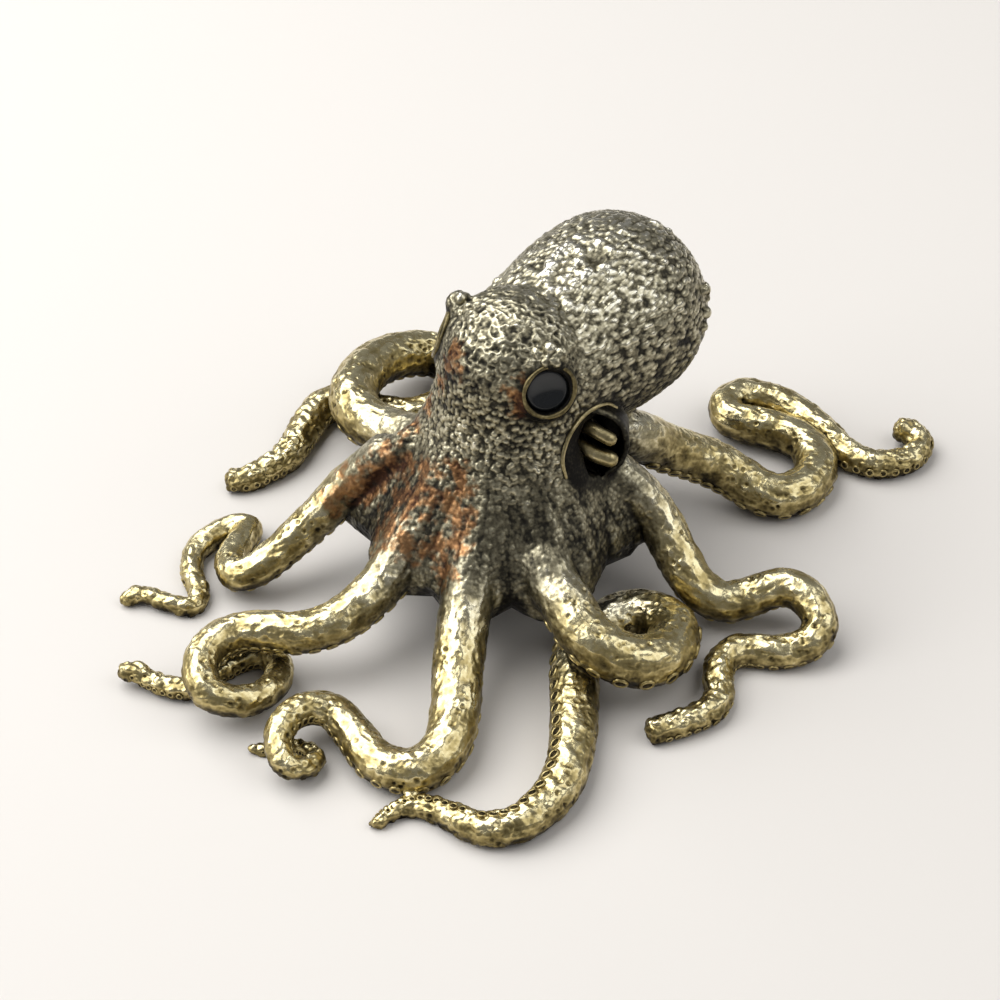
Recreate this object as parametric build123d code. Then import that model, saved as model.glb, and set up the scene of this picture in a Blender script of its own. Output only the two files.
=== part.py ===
"""Cast brass octopus ornament that rests on the undersides of its eight curling arms.

Millimetres, +Z up. The face looks along -Y and the mantle trails along +Y, so the animal's
left side is +X. The origin lies on the table, under the middle of the finished piece.

The casting keeps the flat facets of a hand-cut wax: every freeform skin is a chain of rings of
corners joined by flat triangles, with round work only at the eyes, the siphon and the pegs.
"""

import math
import os
from itertools import pairwise

from build123d import *

# Overall layout
reach = 40.0  # from the middle of the web to the farthest curls
shoulder_lift = 7.0  # underside of an arm above the table where it leaves the web
overrun = 1.0  # extra depth of every cut past its face

# Arms: spans mitred into one another, thinning to a blunt tip
arm_root_radius = 2.45
arm_least_span = 0.9
arm_flat_depth = 0.25  # filed off where an arm lies on the table
arm_sides = 12
span_share = 1.0  # length of a span, of the radius there
root_inset = 1.6  # an arm starts thin, inside the neck and above its route, and swells from there
root_rise = 4.6
root_share = 0.4  # thin start, of the root radius
swell_share = 0.8  # where the route starts
nose_length = 0.6
nose_share = 0.5  # end of the blunt tip, of the radius before it

# Root joint: the body keeps a stub of each arm, and the arm's peg fits a bore in it
joint_reach = 17.0  # every joint lies at the first mitre beyond this radius
peg_radius = 0.9
peg_length = 1.8
peg_clearance = 0.05

# Web, neck and skull
web_radius = 14.0
web_edge_height = 5.2
web_wall = 1.8
skull_height = 31.0
neck_lean = 2.2  # the neck and skull stand this far behind the middle of the web
hollow_height = 9.0
ring_steps = 4  # corners from the middle of one arm to the middle of the next

# Mantle
mantle_radius = 9.3
mantle_length = 25.9
mantle_sink = 8.8  # axis of the mantle at the head, below the crown
mantle_height = skull_height - mantle_sink
mantle_drop = 0.6  # how much lower the axis ends at the rear
mantle_turn = 0.9  # how far the rear end swings to the right side
mantle_joint = 4.6  # plane behind the eyes where the mantle meets the head
mantle_sides = 28

# Eyes
eye_radius = 2.0
eye_thickness = 0.9
eye_clearance = 0.05
eye_spread = 6.5  # middle of the eye's rim from the middle plane
eye_sink = 5.3  # middle of the eye's rim below the crown
eye_height = skull_height - eye_sink
eye_back = -0.5
eye_tilt_degrees = 17.0
eye_toe_degrees = 33.0  # turned from the side towards the front
eye_rim_width = 0.8
eye_rim_recess = 0.5  # the glass lies this far below the rim
eye_bulge_radius = 3.4
eye_bulge_length = 3.6
brow_radius = 1.35
brow_rise = 2.7  # middle of the brow knob above the eye
brow_inset = 0.8
brow_back = 1.6

# Mantle opening and siphon
hood_width = 5.6
hood_height = 7.2
hood_length = 7.0
mouth_wall = 0.6
mouth_depth = 3.2
mouth_left = 8.6
mouth_back = 4.4
mouth_sink = 4.6  # middle of the opening below the mantle's axis
mouth_height = mantle_height - mouth_sink
mouth_turn_degrees = -50.0  # the way that the opening faces, from +X
mouth_tilt_degrees = 8.0
oval_sides = 20
siphon_radius = 1.6
siphon_bore_radius = 0.8
siphon_length = 2.4
siphon_slot_width = 0.55
siphon_slot_depth = 1.1

# Each arm: blunt end as a share of the root radius, fullness (how late it thins), and its route
# as shares of the reach in X and Y and of the shoulder's lift for the height of its underside.
ARM_SHARES = {
    "arm_left_1": (0.20, 1.9, [
        (0.105, -0.185, 1.35), (0.14, -0.25, 0.95), (0.18, -0.32, 0.62), (0.235, -0.40, 0.36),
        (0.30, -0.48, 0.16), (0.35, -0.57, 0.06), (0.34, -0.655, 0.02), (0.26, -0.69, 0.03),
        (0.155, -0.665, 0.08), (0.09, -0.66, 0.17), (0.05, -0.70, 0.27), (0.045, -0.76, 0.32),
        (0.07, -0.815, 0.29), (0.115, -0.84, 0.21), (0.145, -0.81, 0.12), (0.135, -0.765, 0.05),
        (0.09, -0.755, 0.02), (0.05, -0.78, 0.0), (0.02, -0.81, 0.0), (-0.015, -0.83, 0.02),
    ]),
    "arm_left_2": (0.22, 4.0, [
        (0.205, -0.095, 1.32), (0.28, -0.13, 0.97), (0.345, -0.15, 0.84), (0.405, -0.17, 0.71),
        (0.465, -0.17, 0.60), (0.515, -0.15, 0.48), (0.55, -0.10, 0.36), (0.55, -0.03, 0.25),
        (0.51, 0.04, 0.16), (0.445, 0.06, 0.09), (0.39, 0.035, 0.04), (0.36, -0.03, 0.0),
        (0.36, -0.10, 0.0), (0.40, -0.18, 0.0), (0.475, -0.27, 0.0), (0.55, -0.365, 0.0),
        (0.60, -0.455, 0.0), (0.615, -0.545, 0.0), (0.60, -0.625, 0.0), (0.55, -0.67, 0.0),
        (0.48, -0.685, 0.0), (0.41, -0.70, 0.0), (0.37, -0.745, 0.0), (0.36, -0.82, 0.02),
    ]),
    "arm_left_3": (0.50, 0.8, [
        (0.17, 0.145, 1.62), (0.24, 0.19, 1.28), (0.315, 0.21, 0.90), (0.40, 0.19, 0.56),
        (0.47, 0.18, 0.32), (0.525, 0.20, 0.19), (0.56, 0.24, 0.20), (0.59, 0.28, 0.30),
        (0.625, 0.315, 0.37), (0.67, 0.325, 0.37), (0.715, 0.315, 0.30), (0.745, 0.295, 0.19),
        (0.75, 0.255, 0.09), (0.73, 0.22, 0.03), (0.70, 0.185, 0.01), (0.66, 0.16, 0.0),
        (0.63, 0.13, 0.0), (0.625, 0.08, 0.0), (0.65, 0.035, 0.0), (0.685, -0.005, 0.0),
        (0.70, -0.05, 0.0), (0.685, -0.105, 0.0), (0.66, -0.16, 0.0), (0.635, -0.205, 0.0),
    ]),
    "arm_left_4": (0.50, 1.4, [
        (0.095, 0.235, 1.66), (0.14, 0.33, 1.34), (0.165, 0.41, 0.92), (0.195, 0.485, 0.59),
        (0.235, 0.535, 0.37), (0.28, 0.57, 0.17), (0.34, 0.585, 0.06), (0.39, 0.615, 0.02),
        (0.41, 0.68, 0.0), (0.39, 0.755, 0.0), (0.335, 0.805, 0.0), (0.275, 0.815, 0.02),
        (0.215, 0.80, 0.04), (0.16, 0.775, 0.06), (0.11, 0.765, 0.06), (0.07, 0.80, 0.06),
        (0.08, 0.86, 0.06), (0.14, 0.895, 0.05), (0.20, 0.905, 0.04), (0.275, 0.90, 0.03),
        (0.34, 0.885, 0.02), (0.405, 0.87, 0.0), (0.465, 0.88, 0.0), (0.51, 0.92, 0.0),
        (0.53, 0.975, 0.0), (0.515, 1.03, 0.02), (0.475, 1.04, 0.07), (0.45, 1.015, 0.14),
    ]),
    "arm_right_1": (0.36, 0.9, [
        (-0.035, -0.215, 1.35), (-0.045, -0.275, 1.0), (-0.035, -0.35, 0.77),
        (-0.04, -0.45, 0.60), (-0.06, -0.52, 0.53), (-0.10, -0.58, 0.51), (-0.16, -0.62, 0.51),
        (-0.21, -0.67, 0.49), (-0.225, -0.73, 0.48), (-0.20, -0.795, 0.46),
        (-0.145, -0.825, 0.37), (-0.10, -0.795, 0.24), (-0.075, -0.735, 0.15),
        (-0.085, -0.67, 0.10), (-0.13, -0.62, 0.06), (-0.185, -0.62, 0.03),
        (-0.215, -0.67, 0.02), (-0.225, -0.735, 0.02), (-0.235, -0.80, 0.02),
        (-0.275, -0.83, 0.03), (-0.32, -0.845, 0.05), (-0.36, -0.86, 0.13),
        (-0.385, -0.885, 0.08),
    ]),
    "arm_right_2": (0.32, 0.75, [
        (-0.185, -0.135, 1.70), (-0.28, -0.205, 1.12), (-0.315, -0.285, 0.73),
        (-0.34, -0.365, 0.46), (-0.36, -0.44, 0.27), (-0.395, -0.49, 0.17), (-0.45, -0.465, 0.12),
        (-0.487, -0.40, 0.09), (-0.515, -0.345, 0.05), (-0.555, -0.357, 0.02),
        (-0.572, -0.41, 0.0), (-0.563, -0.476, 0.0), (-0.52, -0.53, 0.0), (-0.455, -0.567, 0.0),
        (-0.435, -0.61, 0.0), (-0.475, -0.638, 0.03), (-0.525, -0.656, 0.05),
        (-0.56, -0.67, 0.05), (-0.57, -0.70, 0.02),
    ]),
    "arm_right_3": (0.46, 2.9, [
        (-0.215, 0.06, 1.18), (-0.27, 0.055, 0.90), (-0.36, 0.05, 0.70), (-0.485, 0.05, 0.56),
        (-0.59, 0.105, 0.55), (-0.65, 0.245, 0.43), (-0.635, 0.375, 0.25), (-0.57, 0.435, 0.12),
        (-0.49, 0.39, 0.05), (-0.47, 0.29, 0.0), (-0.515, 0.21, 0.0), (-0.61, 0.17, 0.0),
        (-0.69, 0.14, 0.0), (-0.705, 0.085, 0.0), (-0.675, 0.0, 0.0), (-0.645, -0.08, 0.0),
        (-0.65, -0.165, 0.0), (-0.67, -0.22, 0.0), (-0.705, -0.25, 0.02),
    ]),
    "arm_right_4": (0.22, 2.0, [
        (-0.11, 0.185, 1.50), (-0.15, 0.25, 1.18), (-0.195, 0.325, 0.84), (-0.24, 0.405, 0.51),
        (-0.28, 0.49, 0.25), (-0.305, 0.58, 0.08), (-0.345, 0.665, 0.0), (-0.415, 0.725, 0.0),
        (-0.50, 0.765, 0.0), (-0.56, 0.84, 0.0), (-0.535, 0.93, 0.0), (-0.45, 0.96, 0.0),
        (-0.375, 0.92, 0.0), (-0.36, 0.845, 0.04), (-0.41, 0.82, 0.10),
    ]),
}

# Rings of the web, neck and skull from the edge up: height as a share of the skull's, radius
# over the arms and between them as shares of the web's, lean as a share of the neck's.
BODY_SHARES = [
    (0.168, 1.10, 0.80, 0.0), (0.205, 1.09, 0.86, 0.0), (0.245, 1.06, 0.90, 0.0),
    (0.29, 1.01, 0.875, 0.1), (0.335, 0.94, 0.83, 0.2), (0.39, 0.86, 0.77, 0.35),
    (0.45, 0.76, 0.695, 0.5), (0.525, 0.655, 0.62, 0.7), (0.61, 0.575, 0.56, 0.9),
    (0.70, 0.52, 0.515, 1.0), (0.79, 0.50, 0.50, 1.0), (0.86, 0.465, 0.465, 1.0),
    (0.92, 0.395, 0.395, 1.0), (0.965, 0.29, 0.29, 1.0), (0.99, 0.16, 0.16, 1.0),
    (1.0, 0.04, 0.04, 1.0),
]

# Hollow under the web: height and radius as shares of its own
HOLLOW_SHARES = [(0.0, 1.0), (0.3, 0.91), (0.55, 0.76), (0.78, 0.53), (0.93, 0.30), (1.0, 0.10)]

# Egg of the mantle from its rear end: distance as a share of its length, radius as a share
MANTLE_SHARES = [
    (0.0, 0.05), (0.012, 0.24), (0.045, 0.46), (0.095, 0.66), (0.16, 0.82), (0.235, 0.93),
    (0.32, 0.99), (0.41, 1.0), (0.50, 0.985), (0.60, 0.95), (0.70, 0.905), (0.80, 0.86),
    (0.90, 0.81), (1.0, 0.74),
]

# Dome of a brow knob: height and radius as shares of its radius
BROW_SHARES = [(-1.0, 0.9), (0.0, 1.0), (0.45, 0.88), (0.8, 0.56), (1.0, 0.1)]


def skin(rings):
    """The solid inside a chain of closed rings of corners, in flat triangles."""
    faces = [Face(Wire.make_polygon(rings[0])), Face(Wire.make_polygon(rings[-1]))]
    for lower, upper in pairwise(rings):
        for i, corner in enumerate(lower):
            following = (i + 1) % len(lower)
            faces.append(Face(Wire.make_polygon([corner, lower[following], upper[following]])))
            faces.append(Face(Wire.make_polygon([corner, upper[following], upper[i]])))
    return Solid(Shell(faces))


def round_rings(plane, sides, rows):
    """Rings of corners on planes parallel to this one, from rows of height and half sizes."""
    rings = []
    for height, half_width, half_depth in rows:
        ring = []
        for i in range(sides):
            turn = i * math.tau / sides
            corner = Vector(half_width * math.cos(turn), half_depth * math.sin(turn), height)
            ring.append(plane.from_local_coords(corner))
        rings.append(ring)
    return rings


def arm_stations(tip_share, fullness, shares):
    """Centres and radii along an arm, closer together where it is thin."""
    route = Spline(*[(x * reach, y * reach, lift * shoulder_lift) for x, y, lift in shares])
    length = route.length
    first = route @ 0
    inward = Vector(-first.X, -first.Y, 0).normalized()
    centres = [first + inward * root_inset + Vector(0, 0, root_rise)]
    radii = [arm_root_radius * root_share]
    along = 0
    while along < length:
        taper = 1 - (along / length) ** fullness
        radius = arm_root_radius * (tip_share + (1 - tip_share) * taper)
        radius *= 1 if along else swell_share
        centres.append(route @ (along / length) + Vector(0, 0, radius - arm_flat_depth))
        radii.append(radius)
        along += max(radius * span_share, arm_least_span)
    tip_way = (centres[-1] - centres[-2]).normalized()
    centres.append(centres[-1] + tip_way * nose_length)
    radii.append(radii[-1] * nose_share)
    return centres, radii


def mitred_rings(centres, radii):
    """Rings of corners round the centres, each on the plane that mitres its two spans."""
    ways = [(after - before).normalized() for before, after in pairwise(centres)]
    side = Vector(0, 0, 1).cross(ways[0]).normalized()
    rings = []
    for i, (centre, radius) in enumerate(zip(centres, radii)):
        before, after = ways[max(i - 1, 0)], ways[min(i, len(ways) - 1)]
        mitre = (before + after).normalized()
        side = side - before * (side.dot(mitre) / before.dot(mitre))
        side = (side - after * side.dot(after)).normalized()
        rise = after.cross(side)
        corner_radius = radius / math.cos(math.pi / arm_sides)
        ring = []
        for k in range(arm_sides):
            turn = (k + 1 / 2) * math.tau / arm_sides
            spoke = (side * math.cos(turn) + rise * math.sin(turn)) * corner_radius
            ring.append(centre + spoke - after * (spoke.dot(mitre) / after.dot(mitre)))
        rings.append(ring)
    return rings


def joint_index(centres):
    """Which ring of an arm is the joint with its stub."""
    reaches = [math.hypot(centre.X, centre.Y) for centre in centres]
    return next(i for i, distance in enumerate(reaches) if distance > joint_reach)


def root_peg(centres, radius, length):
    """The round peg that points back from an arm's joint face into the body's stub."""
    joint = joint_index(centres)
    way = (centres[joint] - centres[joint - 1]).normalized()
    start = centres[joint] - way * length
    foot = (Align.CENTER, Align.CENTER, Align.MIN)
    return Plane(origin=start, z_dir=way) * Cylinder(radius, length + overrun, align=foot)


def half_space(face_plane):
    """A block, larger than the ornament, on the side of the plane that its Z points to."""
    size = reach * 4
    return face_plane * Box(size, size, size, align=(Align.CENTER, Align.CENTER, Align.MIN))


def make_arm(centres, rings):
    """One arm from its joint face to its tip, filed flat on the table, with its root peg."""
    below_table = half_space(Plane.XY.rotated((180, 0, 0)))
    outside = skin(rings[joint_index(centres) :]) - below_table
    return outside + root_peg(centres, peg_radius, peg_length)


def lobed_ring(height, ridge, valley, back):
    """A ring round the body that is wide over each arm and drawn in between arms."""
    starts = [route[0] for _, _, route in ARM_SHARES.values()]
    turns = sorted(math.atan2(y, x) for x, y, _ in starts)
    ring = []
    for turn, following in pairwise(turns + [turns[0] + math.tau]):
        for step in range(ring_steps):
            share = step / ring_steps
            swell = (1 + math.cos(share * math.tau)) / 2
            radius = valley + (ridge - valley) * swell
            angle = turn + (following - turn) * share
            ring.append(Vector(radius * math.cos(angle), back + radius * math.sin(angle), height))
    return ring


def make_web_and_skull():
    """The skin of the web, neck and skull in one piece, hollow under the web."""
    outer = [
        lobed_ring(z * skull_height, ridge * web_radius, valley * web_radius, lean * neck_lean)
        for z, ridge, valley, lean in BODY_SHARES
    ]
    _, ridge, valley, _ = BODY_SHARES[0]
    ridge_inside, valley_inside = ridge * web_radius - web_wall, valley * web_radius - web_wall
    floor = web_edge_height - overrun
    inner = [
        lobed_ring(floor + z * hollow_height, share * ridge_inside, share * valley_inside, 0)
        for z, share in HOLLOW_SHARES
    ]
    return skin(outer) - skin(inner)


def make_egg():
    """The egg of the mantle before it is cut to meet the head."""
    rear = Vector(-mantle_turn, mantle_length, mantle_height - mantle_drop)
    axis = Plane(origin=rear, x_dir=(1, 0, 0), z_dir=Vector(0, 0, mantle_height) - rear)
    rows = [(s * mantle_length, r * mantle_radius, r * mantle_radius) for s, r in MANTLE_SHARES]
    return skin(round_rings(axis, mantle_sides, rows))


def eye_plane(side):
    """The plane of an eye's rim, with Z pointing out of the eye; side is 1 or -1."""
    tilt, toe = math.radians(eye_tilt_degrees), math.radians(eye_toe_degrees)
    level = math.cos(tilt)
    out = Vector(side * level * math.cos(toe), -level * math.sin(toe), math.sin(tilt))
    return Plane(origin=(side * eye_spread, eye_back, eye_height), z_dir=out)


def make_eye_bulge(side):
    """The raised lids round an eye, and the beaded brow knob above it."""
    top = (Align.CENTER, Align.CENTER, Align.MAX)
    lids = Cone(eye_bulge_radius, eye_radius + eye_rim_width, eye_bulge_length, align=top)
    place = (side * (eye_spread - brow_inset), eye_back + brow_back, eye_height + brow_rise)
    rows = [(z * brow_radius, r * brow_radius, r * brow_radius) for z, r in BROW_SHARES]
    knob = skin(round_rings(Plane(origin=place), arm_sides, rows))
    return eye_plane(side) * lids + knob


def make_eye_socket(side):
    """The round pocket that an eye is set in."""
    depth = eye_rim_recess + eye_thickness
    foot = (Align.CENTER, Align.CENTER, Align.MIN)
    pocket = Cylinder(eye_radius + eye_clearance, depth + overrun, align=foot)
    return eye_plane(side) * Pos(0, 0, -depth) * pocket


def make_eye(side):
    """A dark glass disc with a bevelled edge, seated on the floor of its socket."""
    disc = Cylinder(eye_radius, eye_thickness, align=(Align.CENTER, Align.CENTER, Align.MAX))
    disc = chamfer(disc.edges().group_by(Axis.Z)[-1], eye_thickness / 3)
    return eye_plane(side) * Pos(0, 0, -eye_rim_recess) * disc


def mouth_plane():
    """The plane of the mantle's opening, with Z pointing out of it and X level."""
    turn, tilt = math.radians(mouth_turn_degrees), math.radians(mouth_tilt_degrees)
    level = math.cos(tilt)
    out = Vector(math.cos(turn) * level, math.sin(turn) * level, math.sin(tilt))
    sideways = Vector(-math.sin(turn), math.cos(turn), 0)
    return Plane(origin=(mouth_left, mouth_back, mouth_height), x_dir=sideways, z_dir=out)


def make_hood():
    """The swelling at the mantle's edge that holds its opening."""
    wide, high = hood_width / 2, hood_height / 2
    rows = [(0, wide, high), (-hood_length / 2, wide, high), (-hood_length, wide / 2, high / 2)]
    return skin(round_rings(mouth_plane(), oval_sides, rows))


def make_mouth():
    """The hollow of the opening, with the hood's wall left round it."""
    wide, high = hood_width / 2 - mouth_wall, hood_height / 2 - mouth_wall
    narrow, low = siphon_radius + mouth_wall, siphon_radius + mouth_wall * 2
    rows = [(overrun, wide, high), (0, wide, high), (-mouth_depth, narrow, low)]
    return skin(round_rings(mouth_plane(), oval_sides, rows))


def make_siphon():
    """The funnel on the floor of the opening, bored through and slit into two lips."""
    foot = (Align.CENTER, Align.CENTER, Align.MIN)
    tube = Cone(siphon_radius - mouth_wall / 2, siphon_radius, siphon_length, align=foot)
    slot = Pos(0, 0, siphon_length - siphon_slot_depth) * Box(
        siphon_radius * 3, siphon_slot_width, siphon_slot_depth + overrun, align=foot
    )
    bore = Pos(0, 0, siphon_length / 2) * Cylinder(siphon_bore_radius, siphon_length, align=foot)
    return mouth_plane() * Pos(0, 0, -mouth_depth) * (tube - slot - bore)


def make_ornament():
    """Every piece of the ornament by name, about the middle of the web."""
    pieces = {}
    head = make_web_and_skull()
    bores = []
    for name, (tip_share, fullness, shares) in ARM_SHARES.items():
        centres, radii = arm_stations(tip_share, fullness, shares)
        rings = mitred_rings(centres, radii)
        pieces[name] = make_arm(centres, rings)
        head += skin(rings[: joint_index(centres) + 1])
        bores.append(root_peg(centres, peg_radius + peg_clearance, peg_length + peg_clearance))
    for side in (1, -1):
        head += make_eye_bulge(side)

    egg, hood = make_egg(), make_hood()
    behind_joint = half_space(Plane(origin=(0, mantle_joint, 0), z_dir=(0, 1, 0)))
    front = head + (egg - behind_joint)
    pieces["mantle"] = (egg & behind_joint) + hood - head - make_mouth()
    front = front - hood - make_mouth() - make_eye_socket(1) - make_eye_socket(-1)
    for bore in bores:
        front -= bore
    pieces["head_and_web"] = front
    pieces["siphon"] = make_siphon()
    pieces["left_eye"] = make_eye(1)
    pieces["right_eye"] = make_eye(-1)
    return pieces


pieces = make_ornament()
box = Compound(list(pieces.values())).bounding_box()
centre = Pos(-box.center().X, -box.center().Y, -box.min.Z)
os.makedirs("parts", exist_ok=True)
for name, piece in pieces.items():
    export_step(centre * piece, f"parts/{name}.step")
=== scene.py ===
import math

import bmesh
import bpy
import numpy as np
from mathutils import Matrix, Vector
from mathutils.bvhtree import BVHTree
from mathutils.kdtree import KDTree


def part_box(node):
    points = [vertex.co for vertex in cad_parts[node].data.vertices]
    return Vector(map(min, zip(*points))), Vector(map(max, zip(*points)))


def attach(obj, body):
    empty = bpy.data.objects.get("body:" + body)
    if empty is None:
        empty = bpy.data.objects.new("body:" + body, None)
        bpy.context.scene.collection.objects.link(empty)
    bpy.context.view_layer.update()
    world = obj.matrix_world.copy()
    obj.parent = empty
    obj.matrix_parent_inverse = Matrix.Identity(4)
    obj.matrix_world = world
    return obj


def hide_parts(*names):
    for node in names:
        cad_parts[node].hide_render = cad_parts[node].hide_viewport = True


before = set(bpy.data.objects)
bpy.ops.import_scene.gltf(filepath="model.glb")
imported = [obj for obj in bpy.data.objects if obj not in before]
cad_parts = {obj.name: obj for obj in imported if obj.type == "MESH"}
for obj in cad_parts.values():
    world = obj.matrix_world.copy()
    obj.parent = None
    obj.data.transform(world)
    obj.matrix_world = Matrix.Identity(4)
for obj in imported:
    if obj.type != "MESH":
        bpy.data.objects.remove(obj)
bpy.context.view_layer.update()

mm = 0.001

# The camera, above the animal's left front. Its place and lens come first, as the warts, reddish
# patches and spots of painted shade that the photograph shows are found by their pixels in it.
def set_out(name, data):
    """A new object of the scene, with this mesh, lens or light."""
    made = bpy.data.objects.new(name, data)
    bpy.context.scene.collection.objects.link(made)
    return made


camera = set_out("camera", bpy.data.cameras.new("camera"))
bpy.context.scene.camera = camera
azimuth = elevation = math.radians(42)
back = Vector((
    math.sin(azimuth) * math.cos(elevation), -math.cos(azimuth) * math.cos(elevation),
    math.sin(elevation),
))
right = Vector((math.cos(azimuth), math.sin(azimuth), 0))
up = back.cross(right)
camera.rotation_mode = "QUATERNION"
camera.rotation_quaternion = (-back).to_track_quat("-Z", "Y")
camera.location = (0.1246, -0.1428, 0.1773)
camera.data.sensor_width = 36
camera.data.lens = 95.4
camera.data.clip_start = 0.01
photo_width = 1000


def sight_line(across, down):
    """The direction from the camera through a pixel of the photograph."""
    focal = camera.data.lens / camera.data.sensor_width * photo_width
    side, high = across - photo_width / 2, photo_width / 2 - down
    return (right * side + up * high - back * focal).normalized()


# The raw casting. The wax pieces were melted together before the brass was poured, so the skin
# runs on from the skull into the web, the arms and the mantle. It is made here as one skin,
# eased where the wax pieces meet, and is parted into the named pieces further down.
brass_names = sorted(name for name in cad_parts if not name.endswith("eye") and name != "siphon")
wax_corners, wax_triangles, wax_owner = [], [], []
for number, name in enumerate(brass_names):
    wax = bmesh.new()
    wax.from_mesh(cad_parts[name].data)
    bmesh.ops.remove_doubles(wax, verts=wax.verts, dist=0.001 * mm)
    bmesh.ops.triangulate(wax, faces=wax.faces)
    wax.verts.ensure_lookup_table()
    first = len(wax_corners)
    wax_corners += [v.co.copy() for v in wax.verts]
    wax_triangles += [[first + v.index for v in f.verts] for f in wax.faces]
    wax_owner += [number] * len(wax.faces)
    wax.free()

wax_mesh = bpy.data.meshes.new("wax")
wax_mesh.from_pydata(wax_corners, [], wax_triangles)
wax_object = set_out("wax", wax_mesh)
skin_step = 0.28
melt = wax_object.modifiers.new("melt", "REMESH")
melt.mode = "VOXEL"
melt.voxel_size = skin_step * mm
raw = bpy.data.meshes.new_from_object(wax_object.evaluated_get(bpy.context.evaluated_depsgraph_get()))
bpy.data.objects.remove(wax_object)


def corners_of(mesh):
    """The corners of a mesh as rows of X, Y and Z."""
    found = np.empty(len(mesh.vertices) * 3, np.float32)
    mesh.vertices.foreach_get("co", found)
    return found.reshape(-1, 3).astype(float)


def normals_of(mesh):
    """The outward directions at the corners of a mesh."""
    found = np.empty(len(mesh.vertices) * 3, np.float32)
    mesh.vertex_normals.foreach_get("vector", found)
    return found.reshape(-1, 3).astype(float)


def set_corners(mesh, places):
    """Moves the corners of a mesh to these places."""
    mesh.vertices.foreach_set("co", places.astype(np.float32).ravel())
    mesh.update()


def eased(mesh, rounds, shares=(0.55, -0.57)):
    """The corners of a mesh after rounds of smoothing; the second share gives the volume back."""
    places = corners_of(mesh)
    ends = np.empty(len(mesh.edges) * 2, np.int32)
    mesh.edges.foreach_get("vertices", ends)
    a, b = ends[::2], ends[1::2]
    count = np.bincount(a, minlength=len(places)) + np.bincount(b, minlength=len(places))
    for _ in range(rounds):
        for share in shares:
            total = np.stack([
                np.bincount(a, places[b, k], len(places)) + np.bincount(b, places[a, k], len(places))
                for k in range(3)
            ], axis=1)
            places = places + share * (total / count[:, None] - places)
    return places


def ramp(values, start, end):
    """Rises smoothly from 0 at start to 1 at end."""
    share = np.clip((values - start) / (end - start), 0, 1)
    return share * share * (3 - 2 * share)


set_corners(raw, eased(raw, rounds=26))

# Each corner of the skin is told which piece of wax it came from, and where it lies on the animal,
# in mm from the middle of the web, which is under the middle between the eyes.
eye_corners = [corner for eye in ("left_eye", "right_eye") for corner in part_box(eye)]
middle = sum(eye_corners, Vector()) / len(eye_corners)
middle = np.array([middle.x, middle.y, 0.0])
wax_tree = BVHTree.FromPolygons(wax_corners, wax_triangles)
corner_owner = np.array([wax_owner[wax_tree.find_nearest(v.co)[2]] for v in raw.vertices], np.int32)
own = (corners_of(raw) - middle) / mm


def seen_at(across, down):
    """The spot of the wax that shows at a pixel of the photograph, or nothing."""
    return wax_tree.ray_cast(camera.location, sight_line(across, down))[0]


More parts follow.
